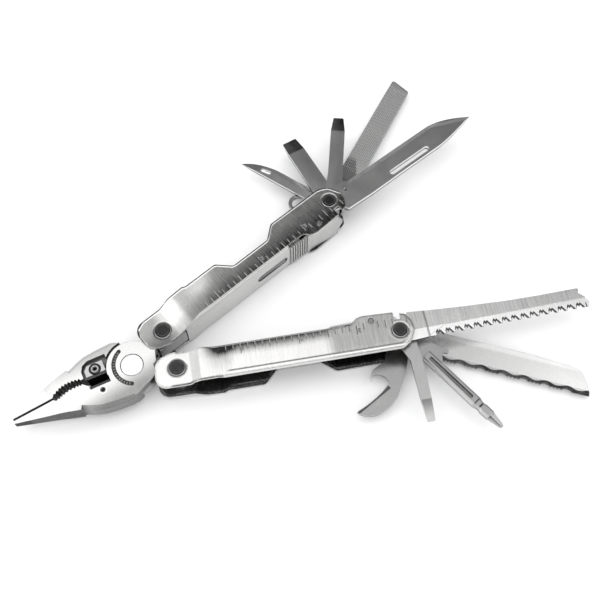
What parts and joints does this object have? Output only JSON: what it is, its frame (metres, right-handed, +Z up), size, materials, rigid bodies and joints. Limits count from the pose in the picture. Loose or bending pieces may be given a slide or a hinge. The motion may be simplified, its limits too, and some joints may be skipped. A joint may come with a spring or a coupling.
{
  "type": "pocket multi tool",
  "caption": "Folding plier multi tool: needle-nose jaws with cutting inserts, two channel handles and locking blades, drivers, file, saw, awl and openers.",
  "frame": {"origin": "centre of the footprint of the fanned-out tool, on the plane its handle walls rest on", "axes": "+X towards the tool ends of the handles, +Z up out of the resting face, parallel to every pivot axis"},
  "size_m": [0.2494, 0.1855, 0.0179],
  "materials": {
    "body_steel": "satin brushed stainless sheet",
    "jaw_steel": "bead blasted and ground stainless",
    "blade_steel": "ground blade steel",
    "tool_steel": "stonewashed tool steel",
    "pivot_steel": "dark satin pivots",
    "insert_steel": "hardened ground insert",
    "spring_steel": "dark spring leaf",
    "lock_steel": "brushed sliding lock",
    "washer_bronze": "friction washers"
  },
  "bodies": {
    "lower_jaw": {"jaw_lower": "jaw_steel", "main_pivot": "pivot_steel", "main_pivot_cap": "pivot_steel", "cutter_lower": "insert_steel", "cutter_screw_lower": "pivot_steel"},
    "upper_jaw": {"jaw_upper": "jaw_steel", "cutter_upper": "insert_steel", "cutter_screw_upper": "pivot_steel"},
    "handle_a": {"handle_a_frame": "body_steel", "head_pivot_a": "pivot_steel", "tool_pivot_a": "pivot_steel", "lock_pin_a": "pivot_steel", "lock_spring_a": "spring_steel", "head_spring_a": "spring_steel", "tool_washers_a": "washer_bronze"},
    "slider_a": {"lock_slider_a": "lock_steel"},
    "handle_b": {"handle_b_frame": "body_steel", "head_pivot_b": "pivot_steel", "tool_pivot_b": "pivot_steel", "lock_pin_b": "pivot_steel", "lock_spring_b": "spring_steel", "head_spring_b": "spring_steel", "tool_washers_b": "washer_bronze"},
    "slider_b": {"lock_slider_b": "lock_steel"},
    "knife_body": {"knife": "blade_steel"},
    "file_body": {"file": "tool_steel"},
    "driver_large_body": {"driver_large": "tool_steel"},
    "driver_medium_body": {"driver_medium": "tool_steel"},
    "awl_body": {"awl": "tool_steel"},
    "lanyard_ring_body": {"lanyard_ring": "tool_steel"},
    "saw_body": {"saw": "blade_steel"},
    "driver_small_body": {"driver_small": "tool_steel"},
    "phillips_driver_body": {"phillips_driver": "tool_steel"},
    "can_opener_body": {"can_opener": "tool_steel"},
    "serrated_knife_body": {"serrated_knife": "blade_steel"}
  },
  "joints": [
    {"name": "jaw_hinge", "type": "hinge", "parent": "lower_jaw", "child": "upper_jaw", "pos_m": [-0.07554, -0.06681, 0.00895], "axis": [0, 0, -1], "range_deg": [0, 30]},
    {"name": "handle_a_fold", "type": "hinge", "parent": "lower_jaw", "child": "handle_a", "pos_m": [-0.06324, -0.05144, 0.00895], "axis": [0, 0, -1], "range_deg": [-161.4, 0]},
    {"name": "handle_b_fold", "type": "hinge", "parent": "upper_jaw", "child": "handle_b", "pos_m": [-0.05592, -0.06843, 0.00895], "axis": [0, 0, 1], "range_deg": [-165.7, 0]},
    {"name": "knife_fold", "type": "hinge", "parent": "handle_a", "child": "knife_body", "pos_m": [0.00987, 0.01306, 0.00895], "axis": [0, 0, -1], "range_deg": [-182.8, 0]},
    {"name": "file_fold", "type": "hinge", "parent": "handle_a", "child": "file_body", "pos_m": [0.00987, 0.01306, 0.00895], "axis": [0, 0, -1], "range_deg": [-155.6, 21.9]},
    {"name": "driver_large_fold", "type": "hinge", "parent": "handle_a", "child": "driver_large_body", "pos_m": [0.00987, 0.01306, 0.00895], "axis": [0, 0, -1], "range_deg": [-139.6, 45]},
    {"name": "driver_medium_fold", "type": "hinge", "parent": "handle_a", "child": "driver_medium_body", "pos_m": [0.00987, 0.01306, 0.00895], "axis": [0, 0, -1], "range_deg": [-105, 79]},
    {"name": "awl_fold", "type": "hinge", "parent": "handle_a", "child": "awl_body", "pos_m": [0.00987, 0.01306, 0.00895], "axis": [0, 0, -1], "range_deg": [-78.5, 106.5]},
    {"name": "lanyard_ring_fold", "type": "hinge", "parent": "handle_a", "child": "lanyard_ring_body", "pos_m": [0.00987, 0.01306, 0.00895], "axis": [0, 0, -1], "range_deg": [-61.4, 58]},
    {"name": "saw_fold", "type": "hinge", "parent": "handle_b", "child": "saw_body", "pos_m": [0.04009, -0.05148, 0.00895], "axis": [0, 0, 1], "range_deg": [-181.8, 0]},
    {"name": "driver_small_fold", "type": "hinge", "parent": "handle_b", "child": "driver_small_body", "pos_m": [0.04009, -0.05148, 0.00895], "axis": [0, 0, 1], "range_deg": [-96.9, 89]},
    {"name": "phillips_driver_fold", "type": "hinge", "parent": "handle_b", "child": "phillips_driver_body", "pos_m": [0.04009, -0.05148, 0.00895], "axis": [0, 0, 1], "range_deg": [-129.5, 56]},
    {"name": "can_opener_fold", "type": "hinge", "parent": "handle_b", "child": "can_opener_body", "pos_m": [0.04009, -0.05148, 0.00895], "axis": [0, 0, 1], "range_deg": [-58, 125]},
    {"name": "serrated_knife_fold", "type": "hinge", "parent": "handle_b", "child": "serrated_knife_body", "pos_m": [0.04009, -0.05148, 0.00895], "axis": [0, 0, 1], "range_deg": [-156.5, 24]},
    {"name": "lock_slider_a_slide", "type": "slide", "parent": "handle_a", "child": "slider_a", "axis": [0.7499, 0.6616, 0], "range_m": [-0.004, 0]},
    {"name": "lock_slider_b_slide", "type": "slide", "parent": "handle_b", "child": "slider_b", "axis": [0.9848, 0.1738, 0], "range_m": [-0.004, 0]}
  ]
}
